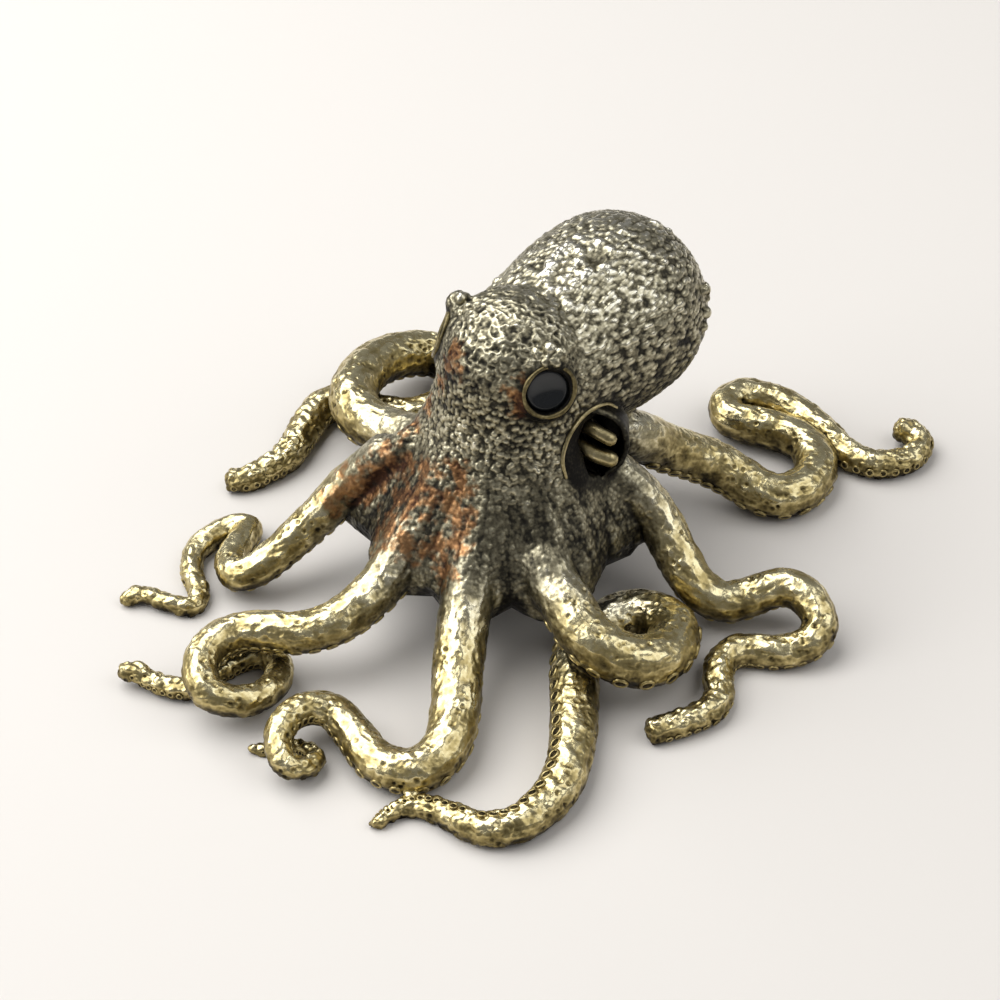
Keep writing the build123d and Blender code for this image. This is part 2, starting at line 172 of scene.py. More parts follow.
# The arms. Eight rolled wax rods, each drawn out to a tip and curled by hand: the route of each is
# its middle line, as shares of the reach in X and Y and of the shoulder's lift for its underside.
reach, shoulder_lift, root_radius, flat_depth = 40.0, 7.0, 2.45, 0.25
arm_shares = {
    "arm_left_1": (0.20, 1.9, [
        (0.105, -0.185, 1.35), (0.14, -0.25, 0.95), (0.18, -0.32, 0.62), (0.235, -0.40, 0.36),
        (0.30, -0.48, 0.16), (0.35, -0.57, 0.06), (0.34, -0.655, 0.02), (0.26, -0.69, 0.03),
        (0.155, -0.665, 0.08), (0.09, -0.66, 0.17), (0.05, -0.70, 0.27), (0.045, -0.76, 0.32),
        (0.07, -0.815, 0.29), (0.115, -0.84, 0.21), (0.145, -0.81, 0.12), (0.135, -0.765, 0.05),
        (0.09, -0.755, 0.02), (0.05, -0.78, 0.0), (0.02, -0.81, 0.0), (-0.015, -0.83, 0.02),
    ]),
    "arm_left_2": (0.22, 4.0, [
        (0.205, -0.095, 1.32), (0.28, -0.13, 0.97), (0.345, -0.15, 0.84), (0.405, -0.17, 0.71),
        (0.465, -0.17, 0.60), (0.515, -0.15, 0.48), (0.55, -0.10, 0.36), (0.55, -0.03, 0.25),
        (0.51, 0.04, 0.16), (0.445, 0.06, 0.09), (0.39, 0.035, 0.04), (0.36, -0.03, 0.0),
        (0.36, -0.10, 0.0), (0.40, -0.18, 0.0), (0.475, -0.27, 0.0), (0.55, -0.365, 0.0),
        (0.60, -0.455, 0.0), (0.615, -0.545, 0.0), (0.60, -0.625, 0.0), (0.55, -0.67, 0.0),
        (0.48, -0.685, 0.0), (0.41, -0.70, 0.0), (0.37, -0.745, 0.0), (0.36, -0.82, 0.02),
    ]),
    "arm_left_3": (0.50, 0.8, [
        (0.17, 0.145, 1.62), (0.24, 0.19, 1.28), (0.315, 0.21, 0.90), (0.40, 0.19, 0.56),
        (0.47, 0.18, 0.32), (0.525, 0.20, 0.19), (0.56, 0.24, 0.20), (0.59, 0.28, 0.30),
        (0.625, 0.315, 0.37), (0.67, 0.325, 0.37), (0.715, 0.315, 0.30), (0.745, 0.295, 0.19),
        (0.75, 0.255, 0.09), (0.73, 0.22, 0.03), (0.70, 0.185, 0.01), (0.66, 0.16, 0.0),
        (0.63, 0.13, 0.0), (0.625, 0.08, 0.0), (0.65, 0.035, 0.0), (0.685, -0.005, 0.0),
        (0.70, -0.05, 0.0), (0.685, -0.105, 0.0), (0.66, -0.16, 0.0), (0.635, -0.205, 0.0),
    ]),
    "arm_left_4": (0.50, 1.4, [
        (0.095, 0.235, 1.66), (0.14, 0.33, 1.34), (0.165, 0.41, 0.92), (0.195, 0.485, 0.59),
        (0.235, 0.535, 0.37), (0.28, 0.57, 0.17), (0.34, 0.585, 0.06), (0.39, 0.615, 0.02),
        (0.41, 0.68, 0.0), (0.39, 0.755, 0.0), (0.335, 0.805, 0.0), (0.275, 0.815, 0.02),
        (0.215, 0.80, 0.04), (0.16, 0.775, 0.06), (0.11, 0.765, 0.06), (0.07, 0.80, 0.06),
        (0.08, 0.86, 0.06), (0.14, 0.895, 0.05), (0.20, 0.905, 0.04), (0.275, 0.90, 0.03),
        (0.34, 0.885, 0.02), (0.405, 0.87, 0.0), (0.465, 0.88, 0.0), (0.51, 0.92, 0.0),
        (0.53, 0.975, 0.0), (0.515, 1.03, 0.02), (0.475, 1.04, 0.07), (0.45, 1.015, 0.14),
    ]),
    "arm_right_1": (0.36, 0.9, [
        (-0.035, -0.215, 1.35), (-0.045, -0.275, 1.0), (-0.035, -0.35, 0.77),
        (-0.04, -0.45, 0.60), (-0.06, -0.52, 0.53), (-0.10, -0.58, 0.51), (-0.16, -0.62, 0.51),
        (-0.21, -0.67, 0.49), (-0.225, -0.73, 0.48), (-0.20, -0.795, 0.46),
        (-0.145, -0.825, 0.37), (-0.10, -0.795, 0.24), (-0.075, -0.735, 0.15),
        (-0.085, -0.67, 0.10), (-0.13, -0.62, 0.06), (-0.185, -0.62, 0.03),
        (-0.215, -0.67, 0.02), (-0.225, -0.735, 0.02), (-0.235, -0.80, 0.02),
        (-0.275, -0.83, 0.03), (-0.32, -0.845, 0.05), (-0.36, -0.86, 0.13),
        (-0.385, -0.885, 0.08),
    ]),
    "arm_right_2": (0.32, 0.75, [
        (-0.185, -0.135, 1.70), (-0.28, -0.205, 1.12), (-0.315, -0.285, 0.73),
        (-0.34, -0.365, 0.46), (-0.36, -0.44, 0.27), (-0.395, -0.49, 0.17), (-0.45, -0.465, 0.12),
        (-0.487, -0.40, 0.09), (-0.515, -0.345, 0.05), (-0.555, -0.357, 0.02),
        (-0.572, -0.41, 0.0), (-0.563, -0.476, 0.0), (-0.52, -0.53, 0.0), (-0.455, -0.567, 0.0),
        (-0.435, -0.61, 0.0), (-0.475, -0.638, 0.03), (-0.525, -0.656, 0.05),
        (-0.56, -0.67, 0.05), (-0.57, -0.70, 0.02),
    ]),
    "arm_right_3": (0.46, 2.9, [
        (-0.215, 0.06, 1.18), (-0.27, 0.055, 0.90), (-0.36, 0.05, 0.70), (-0.485, 0.05, 0.56),
        (-0.59, 0.105, 0.55), (-0.65, 0.245, 0.43), (-0.635, 0.375, 0.25), (-0.57, 0.435, 0.12),
        (-0.49, 0.39, 0.05), (-0.47, 0.29, 0.0), (-0.515, 0.21, 0.0), (-0.61, 0.17, 0.0),
        (-0.69, 0.14, 0.0), (-0.705, 0.085, 0.0), (-0.675, 0.0, 0.0), (-0.645, -0.08, 0.0),
        (-0.65, -0.165, 0.0), (-0.67, -0.22, 0.0), (-0.705, -0.25, 0.02),
    ]),
    "arm_right_4": (0.22, 2.0, [
        (-0.11, 0.185, 1.50), (-0.15, 0.25, 1.18), (-0.195, 0.325, 0.84), (-0.24, 0.405, 0.51),
        (-0.28, 0.49, 0.25), (-0.305, 0.58, 0.08), (-0.345, 0.665, 0.0), (-0.415, 0.725, 0.0),
        (-0.50, 0.765, 0.0), (-0.56, 0.84, 0.0), (-0.535, 0.93, 0.0), (-0.45, 0.96, 0.0),
        (-0.375, 0.92, 0.0), (-0.36, 0.845, 0.04), (-0.41, 0.82, 0.10),
    ]),
}


def smooth_line(route, step):
    """Points along a smooth curve through all the points of a route."""
    ends = np.vstack([2 * route[0] - route[1], route, 2 * route[-1] - route[-2]])
    points = []
    for before, start, end, after in zip(ends, ends[1:], ends[2:], ends[3:]):
        for t in np.arange(0, 1, step):
            points.append(0.5 * (
                2 * start + (end - before) * t + (2 * before - 5 * start + 4 * end - after) * t * t
                + (3 * start - before - 3 * end + after) * t ** 3
            ))
    return np.array(points + [route[-1]])


def arm_line(tip_share, fullness, shares):
    """Points along the middle of an arm in mm, with the radius and the length so far at each."""
    points = smooth_line(
        np.array([[u * reach, v * reach, lift * shoulder_lift] for u, v, lift in shares]), step=0.1,
    )
    steps = np.linalg.norm(np.diff(points, axis=0), axis=1)
    along = np.concatenate([[0], np.cumsum(steps)])
    taper = 1 - (along / along[-1]) ** fullness
    radius = root_radius * (tip_share + (1 - tip_share) * taper)
    points[:, 2] += radius - flat_depth
    return points, radius, along


def search_tree(points):
    """A tree that finds the nearest of some points."""
    tree = KDTree(len(points))
    for number, point in enumerate(points):
        tree.insert(point, number)
    tree.balance()
    return tree


arm_lines = {name: arm_line(*drawn) for name, drawn in arm_shares.items()}
arm_first = dict(zip(arm_lines, np.cumsum([0] + [len(line[0]) for line in arm_lines.values()])))
line_points = np.vstack([points for points, _, _ in arm_lines.values()])
line_radius = np.concatenate([radius for _, radius, _ in arm_lines.values()])
line_along = np.concatenate([along for _, _, along in arm_lines.values()])
line_share = np.concatenate([along / along[-1] for _, _, along in arm_lines.values()])
line_end = np.concatenate([np.full(len(along), along[-1]) for _, _, along in arm_lines.values()])
line_way = np.vstack([np.gradient(points, axis=0) for points, _, _ in arm_lines.values()])
line_way /= np.linalg.norm(line_way, axis=1, keepdims=True)
arm_trees = {name: search_tree(points) for name, (points, _, _) in arm_lines.items()}
shoulder_height = 15.0

# The nearest place on an arm's middle line to each corner: its own arm's, or for the web any arm's
nearest = np.full(len(own), -1)
for number, name in enumerate(brass_names):
    if name in arm_lines:
        for k in np.flatnonzero(corner_owner == number):
            nearest[k] = arm_first[name] + arm_trees[name].find(own[k])[1]
on_web = (corner_owner == brass_names.index("head_and_web")) & (own[:, 2] < shoulder_height)
for k in np.flatnonzero(on_web):
    gap = math.inf
    for name, tree in arm_trees.items():
        _, found, distance = tree.find(own[k])
        if distance - arm_lines[name][1][found] < gap:
            gap = distance - arm_lines[name][1][found]
            nearest[k] = arm_first[name] + found


def round_an_arm(own):
    """How each corner lies to its arm: foot on the line, way along it, spoke and its length."""
    way = line_way[nearest]
    spoke = own - line_points[nearest]
    on_line = (spoke * way).sum(1)
    foot = line_points[nearest] + on_line[:, None] * way
    spoke = own - foot
    return foot, way, on_line, spoke, np.linalg.norm(spoke, axis=1)


# The arms are rolled round: corners that lie about an arm's radius from its line go out to it
foot, way, on_line, spoke, thickness = round_an_arm(own)
arm_radius = line_radius[nearest]
plan_radius = np.hypot(own[:, 0], own[:, 1])
is_arm = np.isin(corner_owner, [brass_names.index(name) for name in arm_lines])
rolled = ramp(np.abs(thickness - arm_radius) / arm_radius, 0.42, 0.16)
rolled *= (nearest >= 0) * np.where(is_arm, 1, ramp(plan_radius, 11, 15))
own += (foot + spoke / (thickness[:, None] + 1e-9) * arm_radius[:, None] - own) * rolled[:, None]

# Each arm's end is rounded off
tip_length = 0.6
past = line_along[nearest] + on_line - line_end[nearest] + tip_length * arm_radius
past = np.clip(past / (tip_length * arm_radius + tip_length), 0, 0.97)
own = np.where(is_arm[:, None], foot + (own - foot) * np.sqrt(1 - past ** 2)[:, None], own)

# The mantle, turned to a smooth egg from its rear end to the back of the head: distance from the
# rear as a share of its length, and radius as a share of its widest.
mantle_radius, mantle_length, mantle_height, mantle_drop, mantle_turn = 9.3, 25.9, 22.2, 0.6, 0.9
mantle_shares = [
    (0.0, 0.05), (0.012, 0.24), (0.045, 0.46), (0.095, 0.66), (0.16, 0.82), (0.235, 0.93),
    (0.32, 0.99), (0.41, 1.0), (0.50, 0.985), (0.60, 0.95), (0.70, 0.905), (0.80, 0.86),
    (0.90, 0.81), (1.0, 0.74),
]
mantle_rear = np.array([-mantle_turn, mantle_length, mantle_height - mantle_drop])
mantle_way = np.array([0, 0, mantle_height]) - mantle_rear
mantle_way /= np.linalg.norm(mantle_way)
egg = smooth_line(np.array(mantle_shares), step=0.1)
from_rear = (own - mantle_rear) @ mantle_way
mantle_spoke = own - mantle_rear - from_rear[:, None] * mantle_way
mantle_thickness = np.linalg.norm(mantle_spoke, axis=1)
egg_radius = np.interp(from_rear / mantle_length, egg[:, 0], egg[:, 1]) * mantle_radius
turned = ramp(np.abs(mantle_thickness - egg_radius) / mantle_radius, 0.10, 0.04)
turned *= ramp(from_rear / mantle_length, 0.05, 0.14) * (corner_owner == brass_names.index("mantle"))
own += mantle_spoke * ((egg_radius / (mantle_thickness + 1e-9) - 1) * turned)[:, None]

own[:, 2] = np.maximum(own[:, 2], 0)
set_corners(raw, own * mm + middle)
set_corners(raw, eased(raw, rounds=4))
own = (corners_of(raw) - middle) / mm
x, y, z = own.T

# What each spot of the skin is: how much it belongs to the mantle, the crown, the face, the web or
# an arm, how far it lies in a hollow, how much it faces upward, and where the grain of it runs.
eye_spread, eye_back, eye_height, eye_tilt, eye_toe = 6.5, -0.5, 25.7, 17.0, 33.0
mouth_place, mouth_turn, mouth_tilt = np.array([8.6, 4.4, 17.6]), -50.0, 8.0


def facing(turn, tilt):
    """The direction that looks so many degrees round from +X and up from level."""
    turn, tilt = math.radians(turn), math.radians(tilt)
    return np.array([math.cos(turn) * math.cos(tilt), math.sin(turn) * math.cos(tilt), math.sin(tilt)])


eye_places = {
    "left": (np.array([eye_spread, eye_back, eye_height]), facing(-eye_toe, eye_tilt)),
    "right": (np.array([-eye_spread, eye_back, eye_height]), facing(180 + eye_toe, eye_tilt)),
}
mouth_out = facing(mouth_turn, mouth_tilt)
foot, way, on_line, spoke, thickness = round_an_arm(own)
along = line_along[nearest] + on_line
sideways = np.stack([-way[:, 1], way[:, 0], np.zeros(len(way))], axis=1)
sideways /= np.linalg.norm(sideways, axis=1, keepdims=True) + 1e-9
rise = np.cross(way, sideways)
plan_radius = np.hypot(x, y)
arm_part = np.where(is_arm, 1, ramp(plan_radius, 10, 17) * ramp(thickness / arm_radius, 1.5, 1.15))
arm_part[nearest < 0] = 0
mantle_part = ramp(y, 3.0, 6.0) * ramp(z, 12.0, 15.0) * (1 - arm_part)
crown_part = ramp(z, 24.0, 28.0) * (1 - mantle_part)
face_part = ramp(z, 12.0, 20.0) * (1 - mantle_part) * (1 - crown_part) * (1 - arm_part)
web_part = np.clip(1 - arm_part - mantle_part - crown_part - face_part, 0, 1)
tail_part = arm_part * ramp(line_share[nearest], 0.62, 0.9)
web_grain = np.stack([np.arctan2(y, x) * 9, np.hypot(plan_radius, z) * 0.3, z * 0], axis=1)
arm_grain = np.stack([(spoke * sideways).sum(1), (spoke * rise).sum(1), along * 0.45], axis=1)

calm = np.ones(len(own))
# Painted shade: the skin round each eye's glass, and inside the mouth opening, is darkened towards black to
# stand for the shade in these hollows.
painted_shade = np.zeros(len(own))
for place, out in eye_places.values():
    gap, depth = np.linalg.norm(own - place, axis=1), (place - own) @ out
    calm = np.minimum(calm, ramp(gap, 2.6, 3.3))
    painted_shade = np.maximum(painted_shade, ramp(gap, 2.6, 2.1))
mouth_gap, mouth_depth = np.linalg.norm(own - mouth_place, axis=1), (mouth_place - own) @ mouth_out
calm = np.minimum(calm, ramp(mouth_gap, 4.0, 4.8))
painted_shade = np.maximum(painted_shade, ramp(mouth_depth, 0.1, 0.9) * ramp(mouth_gap, 4.2, 3.6))
# Spots of painted shade over the mouth opening, each at a pixel, with its radius in mm.
mouth_shade_spots = [(575, 462, 1.5), (572, 448, 1.3), (579, 474, 1.3), (580, 432, 1.2)]
for across, down, radius in mouth_shade_spots:
    gap = np.linalg.norm(own - (np.array(seen_at(across, down)) - middle) / mm, axis=1)
    painted_shade = np.maximum(painted_shade, ramp(gap, radius + 0.4, radius - 0.3))
    calm = np.minimum(calm, ramp(gap, radius - 0.2, radius + 0.4))
raw_normals = normals_of(raw)
hollow = ((eased(raw, rounds=60, shares=(0.6,)) - corners_of(raw)) * raw_normals).sum(1) / mm


def keep(mesh, name, values):
    """Stores one number or one vector for each corner of a mesh."""
    kind, slot = ("FLOAT_VECTOR", "vector") if values.ndim == 2 else ("FLOAT", "value")
    mesh.attributes.new(name, kind, "POINT").data.foreach_set(slot, values.astype(np.float32).ravel())


for name, values in (
    ("mantle_part", mantle_part * calm), ("crown_part", crown_part * calm),
    ("face_part", face_part * calm), ("web_part", web_part * calm), ("arm_part", arm_part),
    ("tail_part", tail_part), ("web_grain", web_grain), ("arm_grain", arm_grain),
    ("own_place", own), ("painted_shade", painted_shade), ("hollow", hollow), ("upward", raw_normals[:, 2]),
    ("hidden", ramp(-raw_normals[:, 2], 0.1, 0.5) * ramp(thickness / arm_radius, 1.05, 1.3)),
):
    keep(raw, name, values)

# Each face of the skin goes to the piece of wax that most of its neighbours go to
raw_quads = np.empty(len(raw.loops), np.int32)
raw.loops.foreach_get("vertex_index", raw_quads)
face_owner = corner_owner[raw_quads.reshape(-1, 4)[:, 0]]
edge_numbers = np.empty(len(raw.loops), np.int32)
raw.loops.foreach_get("edge_index", edge_numbers)
pairs = np.argsort(edge_numbers, kind="stable").reshape(-1, 2)
beside = np.empty(len(edge_numbers), int)
beside[pairs[:, 0]], beside[pairs[:, 1]] = pairs[:, 1] // 4, pairs[:, 0] // 4
for _ in range(8):
    around = face_owner[beside.reshape(-1, 4)]
    for k in range(4):
        same = (around == around[:, k:k + 1]).sum(axis=1)
        face_owner = np.where(same >= 3, around[:, k], face_owner)
neck_height = 15.5
head_number = len(brass_names)
above_neck = z[raw_quads.reshape(-1, 4)[:, 0]] > neck_height
face_owner[(face_owner == brass_names.index("head_and_web")) & above_neck] = head_number
raw.attributes.new("owner", "INT", "FACE").data.foreach_set("value", face_owner.astype(np.int32))


# The relief that was pressed and scratched into the wax: pebbles in rows on the mantle, worm-like
# ridges on the crown, beads down the face, fine wrinkles on the web, furrows and pits on the arms.
def add(tree, kind, inputs=(), **settings):
    """One node of a tree, with its settings, and its inputs as values or as other nodes' sockets."""
    made = tree.nodes.new(kind)
    for key, value in settings.items():
        setattr(made, key, value)
    for key, value in dict(inputs).items():
        if isinstance(value, bpy.types.NodeSocket):
            tree.links.new(value, made.inputs[key])
        else:
            made.inputs[key].default_value = value
    return made


def sum_of(tree, kind, *values):
    """The result of a two-way sum, product, power or the like, taken over all the values in turn."""
    result = values[0]
    for value in values[1:]:
        result = add(tree, "ShaderNodeMath", {0: result, 1: value}, operation=kind).outputs[0]
    return result


def attribute(tree, name, kind="FLOAT"):
    """The stored number or vector of that name."""
    return add(tree, "GeometryNodeInputNamedAttribute", {"Name": name}, data_type=kind).outputs[0]


def stretched(tree, place, factors):
    """A place with each of its directions stretched by a factor."""
    return add(tree, "ShaderNodeVectorMath", {0: place, 1: factors}, operation="MULTIPLY").outputs[0]


def domes(tree, place, scale, uneven, fill):
    """Round-topped bumps, packed with gaps between them: 1 at the top of the highest, 0 in the gaps."""
    cells = add(tree, "ShaderNodeTexVoronoi", {"Vector": place, "Scale": scale, "Randomness": uneven})
    share = sum_of(tree, "DIVIDE", cells.outputs["Distance"], fill)
    left = sum_of(tree, "SUBTRACT", 1.0, sum_of(tree, "MULTIPLY", share, share))
    dome = sum_of(tree, "POWER", sum_of(tree, "MAXIMUM", left, 0.0), 0.5)
    chance = add(tree, "FunctionNodeSeparateColor", {0: cells.outputs["Color"]}).outputs[0]
    return sum_of(tree, "MULTIPLY", dome, sum_of(tree, "ADD", 0.55, sum_of(tree, "MULTIPLY", chance, 0.45)))


def cloud(tree, place, scale, detail=2.0):
    """Soft irregular lumps from 0 to 1."""
    return add(tree, "ShaderNodeTexNoise", {"Vector": place, "Scale": scale, "Detail": detail}).outputs[0]


def ridges(tree, place, scale, narrow, detail=1.0):
    """Winding ridges: 1 along their tops, falling to 0 between them."""
    lump = sum_of(tree, "SUBTRACT", cloud(tree, place, scale, detail), 0.5)
    fall = sum_of(tree, "MULTIPLY", sum_of(tree, "ABSOLUTE", lump, 0.0), narrow)
    return sum_of(tree, "MAXIMUM", sum_of(tree, "SUBTRACT", 1.0, fall), 0.0)


relief = bpy.data.node_groups.new("relief", "GeometryNodeTree")
relief.interface.new_socket("Skin", in_out="INPUT", socket_type="NodeSocketGeometry")
relief.interface.new_socket("Skin", in_out="OUTPUT", socket_type="NodeSocketGeometry")
depth_sockets = {}
for name, depth in (
    ("Pebble depth", 0.24), ("Worm depth", 0.24), ("Bead depth", 0.24), ("Wrinkle depth", 0.22),
    ("Dent depth", 0.42), ("Tail bead depth", 0.22),
):
    socket = relief.interface.new_socket(name, in_out="INPUT", socket_type="NodeSocketFloat")
    depth_sockets[socket.identifier] = depth * mm
start = add(relief, "NodeGroupInput")
own_place = attribute(relief, "own_place", "FLOAT_VECTOR")
waver = add(relief, "ShaderNodeTexNoise", {"Vector": own_place, "Scale": 0.35}).outputs[1]
bent_place = add(relief, "ShaderNodeVectorMath", {0: own_place, 1: waver}).outputs[0]
web_grain = attribute(relief, "web_grain", "FLOAT_VECTOR")
arm_grain = attribute(relief, "arm_grain", "FLOAT_VECTOR")
pebbles = domes(relief, stretched(relief, bent_place, (1.0, 0.6, 1.0)), 1.95, 0.85, 0.70)
beads = domes(relief, bent_place, 2.0, 0.95, 0.66)
worms = sum_of(relief, "MAXIMUM", ridges(relief, bent_place, 1.15, 6.0),
    sum_of(relief, "MULTIPLY", beads, 0.7))
streaks = domes(relief, stretched(relief, web_grain, (1.0, 1.8, 1.0)), 1.5, 0.9, 0.7)
wrinkles = sum_of(relief, "ADD", sum_of(relief, "MULTIPLY", streaks, 0.55),
    sum_of(relief, "MULTIPLY", domes(relief, bent_place, 1.9, 1.0, 0.62), 0.45))
patches = sum_of(relief, "MAXIMUM", sum_of(relief, "MULTIPLY",
    sum_of(relief, "SUBTRACT", cloud(relief, own_place, 0.22), 0.44), 6.0), 0.0)
pits = sum_of(relief, "MULTIPLY", domes(relief, own_place, 1.25, 1.0, 0.33),
    sum_of(relief, "MINIMUM", patches, 1.0))
dents = sum_of(relief, "SUBTRACT", sum_of(relief, "ADD",
    sum_of(relief, "MULTIPLY", cloud(relief, own_place, 0.8, 2.0), 0.7),
    sum_of(relief, "MULTIPLY", cloud(relief, arm_grain, 1.4, 2.0), 0.8)),
    sum_of(relief, "MULTIPLY", pits, 0.5))
tail_beads = domes(relief, bent_place, 1.25, 0.9, 0.62)

height = 0.0
offset = 0.0
for kind, pattern, level, socket in (
    ("mantle_part", pebbles, 0.45, 1), ("crown_part", worms, 0.4, 2), ("face_part", beads, 0.4, 3),
    ("web_part", wrinkles, 0.4, 4), ("arm_part", dents, 0.7, 5), ("tail_part", tail_beads, 0.4, 6),
):
    part = attribute(relief, kind)
    if kind != "tail_part":
        height = sum_of(relief, "ADD", height, sum_of(relief, "MULTIPLY", part, pattern))
    raised = sum_of(relief, "MULTIPLY", sum_of(relief, "SUBTRACT", pattern, level), start.outputs[socket])
    offset = sum_of(relief, "ADD", offset, sum_of(relief, "MULTIPLY", part, raised))
kept = add(relief, "GeometryNodeStoreNamedAttribute", {
    "Geometry": start.outputs[0], "Name": "height", "Value": height,
}, data_type="FLOAT", domain="POINT").outputs[0]
push = add(relief, "ShaderNodeVectorMath", {
    0: add(relief, "GeometryNodeInputNormal").outputs[0], "Scale": offset,
}, operation="SCALE").outputs[0]
pressed = add(relief, "GeometryNodeSetPosition", {"Geometry": kept, "Offset": push}).outputs[0]
add(relief, "NodeGroupOutput", {0: pressed})


def finished_mesh(piece):
    """A plain mesh of a piece, with all that its modifiers do to it."""
    depsgraph = bpy.context.evaluated_depsgraph_get()
    return bpy.data.meshes.new_from_object(
        piece.evaluated_get(depsgraph), preserve_all_data_layers=True, depsgraph=depsgraph,
    )


skin_object = set_out("skin", raw)
fine = skin_object.modifiers.new("fine", "SUBSURF")
fine.levels = fine.render_levels = 1
press = skin_object.modifiers.new("press", "NODES")
press.node_group = relief
for identifier, depth in depth_sockets.items():
    press[identifier] = depth
skin = finished_mesh(skin_object)
bpy.data.objects.remove(skin_object)


def per_corner(mesh, name):
    """A stored number or vector of a mesh, for all corners or faces."""
    layer = mesh.attributes[name]
    if layer.data_type == "FLOAT_VECTOR":
        found = np.empty(len(layer.data) * 3, np.float32)
        layer.data.foreach_get("vector", found)
        return found.reshape(-1, 3)
    found = np.empty(len(layer.data), np.int32 if layer.data_type == "INT" else np.float32)
    layer.data.foreach_get("value", found)
    return found


# Larger warts that the photograph shows, by their pixels in it, with radius and height in mm; one
# with a height below zero is a hole
warts = [
    (537, 353, 0.55, 0.40), (549, 348, 0.65, 0.50), (562, 352, 0.55, 0.42), (545, 363, 0.45, 0.32),
    (557, 364, 0.40, 0.30), (568, 363, 0.35, 0.22), (529, 363, 0.40, 0.25), (572, 345, 0.40, 0.25),
    (461, 298, 0.60, 0.42), (469, 307, 0.55, 0.38), (460, 313, 0.45, 0.30), (471, 322, 0.40, 0.28),
    (476, 300, 0.40, 0.25), (549, 273, 0.75, 0.34), (552, 265, 0.80, 0.40), (556, 256, 0.70, 0.36),
    (562, 249, 0.65, 0.34), (570, 246, 0.60, 0.30), (578, 251, 0.55, 0.30), (600, 243, 0.60, 0.30),
    (588, 272, 0.75, 0.26), (579, 262, 0.60, 0.30), (607, 268, 0.50, 0.24), (596, 258, 0.90, -0.36),
    (612, 250, 0.45, 0.22), (543, 281, 0.50, 0.24), (655, 226, 0.75, 0.40), (668, 232, 0.45, 0.25),
    (623, 232, 0.45, 0.22), (702, 290, 0.70, 0.70), (705, 297, 0.55, 0.50), (704, 312, 0.60, 0.55),
    (703, 326, 0.50, 0.40), (697, 338, 0.45, 0.30), (497, 281, 0.50, 0.32), (492, 290, 0.40, 0.25),
    (622, 393, 0.45, 0.22), (608, 362, 0.40, 0.18), (665, 262, 0.40, 0.20), (689, 268, 0.45, 0.25),
    (640, 300, 0.40, 0.16), (530, 248, 0.40, 0.18), (505, 395, 0.35, 0.16), (488, 372, 0.35, 0.16),
]
skin_corners = corners_of(skin)
skin_normals = normals_of(skin)
height = per_corner(skin, "height")
for across, down, radius, rise in warts:
    place = seen_at(across, down)
    if place is not None:
        share = np.linalg.norm(skin_corners - np.array(place), axis=1) / (radius * mm)
        dome = np.clip(1 - share ** 2, 0, 1) ** 0.6
        skin_corners += skin_normals * (dome * rise * mm)[:, None]
        height = np.maximum(height, dome) if rise > 0 else height * (1 - dome)
skin_corners[:, 2] = np.maximum(skin_corners[:, 2], 0)
set_corners(skin, skin_corners)

# The patina, with painted light. The brass was dipped dark and then rubbed, so it is bright on what
# stands out, most of all on the arms, and stays dark in every hollow. On top of that, spots that face
# up are painted lighter and the arms' sides darker, as painted light from above. Each reddish patch
# has the pixel of its middle in the photograph, and its radius in mm.
arm_share, hollow, upward = (per_corner(skin, name) for name in ("arm_part", "hollow", "upward"))
# The upward term paints light: spots that face up are made lighter and those facing down darker, as if lit
# from above.
body_wear_and_light = 0.06 + 0.70 * height + 0.32 * upward - 0.7 * ramp(hollow, 0.08, 0.6)
body_wear_and_light -= 0.14 * per_corner(skin, "web_part") + 0.22 * per_corner(skin, "crown_part")
# On the arms the upward term is stronger: a painted highlight along the tops and painted shade down the
# sides.
arm_wear_and_light = 0.38 + 1.1 * (height - 0.7) + 0.46 * upward - 0.9 * ramp(hollow, 0.05, 0.5)
from_middle = np.hypot(*(skin_corners[:, :2] - middle[:2]).T) / mm
gold = ramp(arm_share, 0.1, 0.9) * ramp(from_middle, 11.0, 20.0)
wear_and_light = body_wear_and_light + (arm_wear_and_light - body_wear_and_light) * gold
# Here the painted shade of the eye sockets and the mouth opening takes the tone down to black.
wear_and_light = np.clip(wear_and_light, 0, 1) * (1 - per_corner(skin, "painted_shade"))
reddish_patch = np.zeros(len(wear_and_light))
reddish_patches = [
    (517, 396, 1.8), (522, 382, 1.3), (516, 408, 1.4), (450, 366, 2.2), (455, 352, 1.6),
    (440, 384, 1.6), (428, 405, 1.8), (412, 424, 2.0), (457, 470, 1.9), (460, 492, 2.2),
    (460, 516, 2.2), (458, 542, 2.0), (436, 500, 2.4), (422, 478, 3.0), (405, 500, 3.4),
    (388, 525, 3.2), (372, 482, 3.2), (350, 484, 2.8), (335, 500, 2.2), (392, 462, 3.0),
    (375, 545, 2.6), (366, 562, 2.2), (410, 545, 2.4), (436, 545, 2.4), (446, 575, 2.2),
]
for across, down, radius in reddish_patches:
    place = seen_at(across, down)
    if place is not None:
        share = np.linalg.norm(skin_corners - np.array(place), axis=1) / (radius * mm)
        reddish_patch = np.maximum(reddish_patch, np.clip(1 - share, 0, 1))
for name, values in (("wear_and_light", wear_and_light), ("reddish_patch", reddish_patch), ("gold", gold)):
    keep(skin, name, values)
keep(skin, "skin_normal", normals_of(skin))


# The cast brass: nearly black where the patina stayed and pale where it is rubbed bright or painted
# lit, silvery on the body and golden out along the arms, with reddish patches. The slow mottling, the
# finest grain and the painted glints on tiny specks are made here.
def patina_colours(tree, tone, stops):
    """The colour of the brass for its tone of wear and painted light, from the dark patina up."""
    colours = add(tree, "ShaderNodeValToRGB", {"Fac": tone})
    points = colours.color_ramp.elements
    points[0].position, points[0].color = stops[0]
    points[1].position, points[1].color = stops[-1]
    for position, colour in stops[1:-1]:
        points.new(position).color = colour
    return colours.outputs[0]


